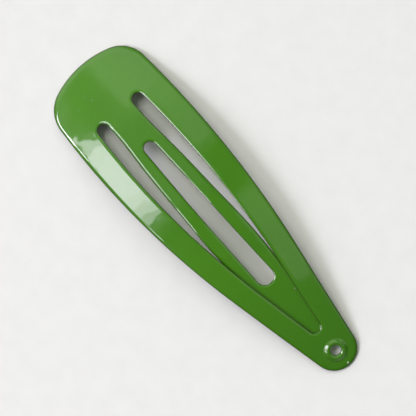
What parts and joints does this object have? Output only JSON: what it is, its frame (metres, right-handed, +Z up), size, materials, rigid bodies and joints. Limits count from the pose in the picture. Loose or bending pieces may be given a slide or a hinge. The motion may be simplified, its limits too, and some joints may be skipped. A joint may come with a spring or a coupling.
{
  "type": "snap hair clip",
  "caption": "Arched snap hair clip in green lacquered spring steel: a teardrop frame, a sprung tongue with a long slot between its legs, and a hollow eyelet at the tip.",
  "frame": {"origin": "middle of the clip's length and width, on the surface that it rests on, face up", "axes": "+X along the clip from the broad end to the tip, +Y across it, +Z up through the domed face"},
  "size_m": [0.0604, 0.0178, 0.0053],
  "materials": {
    "lacquer": "gloss"
  },
  "bodies": {
    "frame": {"frame": "lacquer", "eyelet": "lacquer"},
    "tongue": {"tongue": "lacquer"}
  },
  "joints": [
    {"name": "tongue_snap", "type": "hinge", "parent": "frame", "child": "tongue", "pos_m": [-0.02055, 0, 0.00304], "axis": [0, 1, 0], "range_deg": [0, 20], "stiffness_Nm_per_rad": 0.1}
  ]
}
